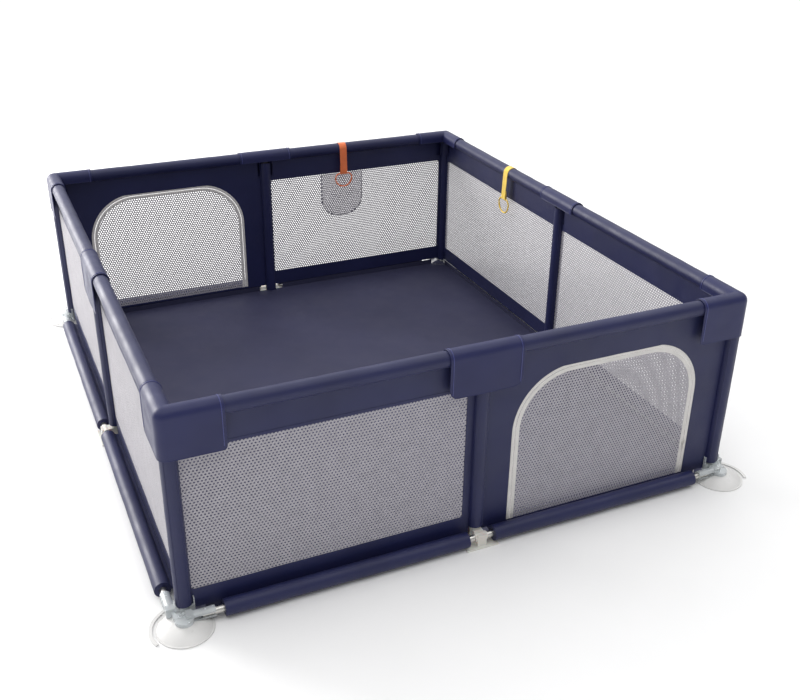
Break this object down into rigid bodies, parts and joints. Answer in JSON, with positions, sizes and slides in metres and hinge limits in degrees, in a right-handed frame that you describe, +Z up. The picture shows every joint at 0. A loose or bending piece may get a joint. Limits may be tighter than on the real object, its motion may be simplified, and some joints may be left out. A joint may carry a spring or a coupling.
{
  "type": "playpen",
  "caption": "Square padded play yard with mesh walls, two zipped arch doors, covered rail joints, a cloth floor, suction-cup feet and hanging hand rings.",
  "frame": {"origin": "middle of the footprint on the floor", "axes": "+Z up, -Y towards the front wall, +X to the right seen from the front"},
  "size_m": [1.964, 2.239, 0.6555],
  "materials": {
    "steel_tube": "galvanised steel tube",
    "clear_foot": "clear to milky moulded plastic",
    "white_foot": "off-white moulded plastic",
    "suction_cup": "milky translucent soft plastic",
    "leatherette": "navy leatherette with soft sheen",
    "dark_joint": "black moulded plastic",
    "foam": "closed-cell foam sleeve",
    "navy_cloth": "navy coated oxford cloth",
    "floor_cloth": "navy coated oxford cloth",
    "mesh": "pale grey warp-knit mesh",
    "pocket_mesh": "dense pale grey mesh with navy binding",
    "zip_tape": "pale grey woven zip tape",
    "zip_metal": "pale grey painted zip metal",
    "orange_strap": "orange woven webbing",
    "yellow_strap": "yellow woven webbing",
    "orange_ring": "orange moulded ring",
    "yellow_ring": "yellow moulded ring"
  },
  "bodies": {
    "yard": {"bottom_rails_back": "steel_tube", "bottom_rails_front": "steel_tube", "bottom_rails_left": "steel_tube", "bottom_rails_right": "steel_tube", "corner_cover_back_left": "leatherette", "corner_cover_back_right": "leatherette", "corner_cover_front_left": "leatherette", "corner_cover_front_right": "leatherette", "corner_foot_back_left": "clear_foot", "corner_foot_back_right": "clear_foot", "corner_foot_front_left": "clear_foot", "corner_foot_front_right": "clear_foot", "corner_post_back_left": "steel_tube", "corner_post_back_right": "steel_tube", "corner_post_front_left": "steel_tube", "corner_post_front_right": "steel_tube", "floor_cloth": "floor_cloth", "foam_sleeves": "foam", "mid_cover_back": "leatherette", "mid_cover_front": "leatherette", "mid_cover_left": "leatherette", "mid_cover_right": "leatherette", "mid_feet": "white_foot", "mid_post_back": "steel_tube", "mid_post_front": "steel_tube", "mid_post_left": "steel_tube", "mid_post_right": "steel_tube", "pocket": "pocket_mesh", "strap_anchors": "orange_strap", "suction_cup_back_left": "suction_cup", "suction_cup_back_right": "suction_cup", "suction_cup_front_left": "suction_cup", "suction_cup_front_right": "suction_cup", "top_corner_joints": "dark_joint", "top_mid_joints": "dark_joint", "top_rails_back": "steel_tube", "top_rails_front": "steel_tube", "top_rails_left": "steel_tube", "top_rails_right": "steel_tube", "wall_back": "navy_cloth", "wall_front": "navy_cloth", "wall_left": "navy_cloth", "wall_right": "navy_cloth", "window_mesh_back": "mesh", "window_mesh_front": "mesh", "window_mesh_left": "mesh", "window_mesh_right": "mesh", "zip_tapes_wall": "zip_tape"},
    "door_flap_front": {"door_mesh_front": "mesh", "door_tape_front": "zip_tape"},
    "door_flap_back": {"door_mesh_back": "mesh", "door_tape_back": "zip_tape"},
    "slider_front": {"zip_slider_front": "zip_metal"},
    "slider_back": {"zip_slider_back": "zip_metal"},
    "pull_front": {"zip_pull_front": "zip_metal"},
    "pull_back": {"zip_pull_back": "zip_metal"},
    "strap_back": {"ring_strap_back": "orange_strap"},
    "strap_right": {"ring_strap_right": "yellow_strap"},
    "ring_back": {"hand_ring_back": "orange_ring"},
    "ring_right": {"hand_ring_right": "yellow_ring"}
  },
  "joints": [
    {"name": "door_fold_front", "type": "hinge", "parent": "yard", "child": "door_flap_front", "pos_m": [0.435, -1.0012, 0.054], "axis": [1, 0, 0], "range_deg": [0, 90]},
    {"name": "zip_travel_front", "type": "slide", "parent": "door_flap_front", "child": "slider_front", "axis": [0, 0, 1], "range_m": [0, 0.18]},
    {"name": "zip_pull_swing_front", "type": "hinge", "parent": "slider_front", "child": "pull_front", "pos_m": [0.7515, -1.0061, 0.154], "axis": [-1, 0, 0], "range_deg": [0, 150]},
    {"name": "door_fold_back", "type": "hinge", "parent": "yard", "child": "door_flap_back", "pos_m": [-0.435, 1.0012, 0.054], "axis": [-1, 0, 0], "range_deg": [0, 90]},
    {"name": "zip_travel_back", "type": "slide", "parent": "door_flap_back", "child": "slider_back", "axis": [0, 0, 1], "range_m": [0, 0.18]},
    {"name": "zip_pull_swing_back", "type": "hinge", "parent": "slider_back", "child": "pull_back", "pos_m": [-0.7515, 1.0061, 0.154], "axis": [1, 0, 0], "range_deg": [0, 150]},
    {"name": "strap_swing_back", "type": "hinge", "parent": "yard", "child": "strap_back", "pos_m": [0.357, 0.9741, 0.628], "axis": [-1, 0, 0], "range_deg": [0, 90]},
    {"name": "ring_swing_back", "type": "hinge", "parent": "strap_back", "child": "ring_back", "pos_m": [0.357, 0.9741, 0.52], "axis": [-1, 0, 0], "range_deg": [0, 120]},
    {"name": "strap_swing_right", "type": "hinge", "parent": "yard", "child": "strap_right", "pos_m": [0.8516, 0.39, 0.628], "axis": [0, 1, 0], "range_deg": [0, 90]},
    {"name": "ring_swing_right", "type": "hinge", "parent": "strap_right", "child": "ring_right", "pos_m": [0.8516, 0.39, 0.52], "axis": [0, 1, 0], "range_deg": [0, 120]}
  ]
}
